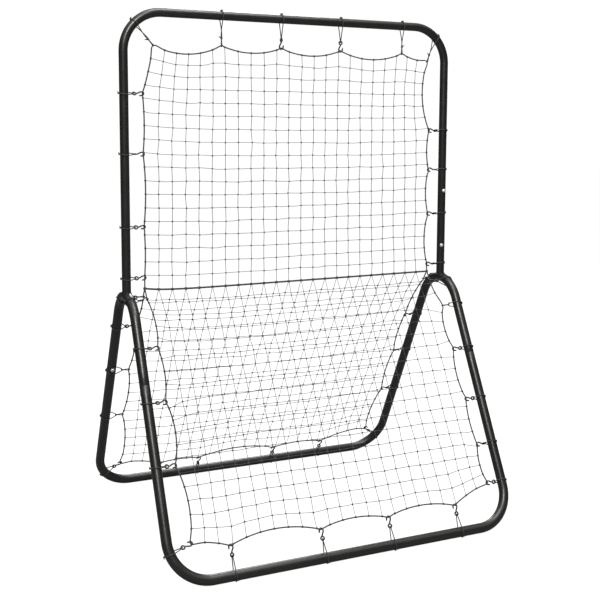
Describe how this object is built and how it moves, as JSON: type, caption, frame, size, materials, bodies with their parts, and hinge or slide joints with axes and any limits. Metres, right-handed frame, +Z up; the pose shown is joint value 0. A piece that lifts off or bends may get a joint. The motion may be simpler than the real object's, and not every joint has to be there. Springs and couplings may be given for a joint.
{
  "type": "pitch back rebounder",
  "caption": "Free-standing ball rebounder: a black steel tube frame with one upright net above the waist and two slanting nets below it, held by elastic ties with hooks.",
  "frame": {"origin": "ground level, midway between the side frames and midway between the two foot bars", "axes": "+X to the thrower's right, +Y away from the thrower towards the back, +Z up"},
  "size_m": [1.2184, 0.9726, 1.7033],
  "materials": {
    "frame_coat": "satin black powder coat",
    "sleeve_steel": "plain drawn steel",
    "bolt_zinc": "bright zinc plate",
    "insert_steel": "yellow zinc plate",
    "net_twine": "knotted black twine",
    "net_rope": "braided black rope",
    "elastic_cord": "black elastic cord",
    "hook_wire": "black coated wire"
  },
  "bodies": {
    "root": {"upper_frame": "frame_coat", "post_left": "frame_coat", "post_right": "frame_coat", "weld_left": "frame_coat", "weld_right": "frame_coat", "arch_left": "frame_coat", "arch_right": "frame_coat", "front_foot_frame": "frame_coat", "rear_foot_frame": "frame_coat", "sleeve_left": "sleeve_steel", "sleeve_right": "sleeve_steel", "upright_bolts": "bolt_zinc", "upright_nuts": "insert_steel", "leg_bolts": "bolt_zinc", "leg_nuts": "insert_steel", "net_upper": "net_twine", "net_front": "net_twine", "net_rear": "net_twine", "rope_upper": "net_rope", "rope_front": "net_rope", "rope_rear": "net_rope", "rope_waist": "net_rope", "ties_upper": "elastic_cord", "ties_apex": "elastic_cord", "ties_front": "elastic_cord", "ties_rear": "elastic_cord", "hooks_upper": "hook_wire", "hooks_apex": "hook_wire", "hooks_front": "hook_wire", "hooks_rear": "hook_wire"}
  },
  "joints": []
}
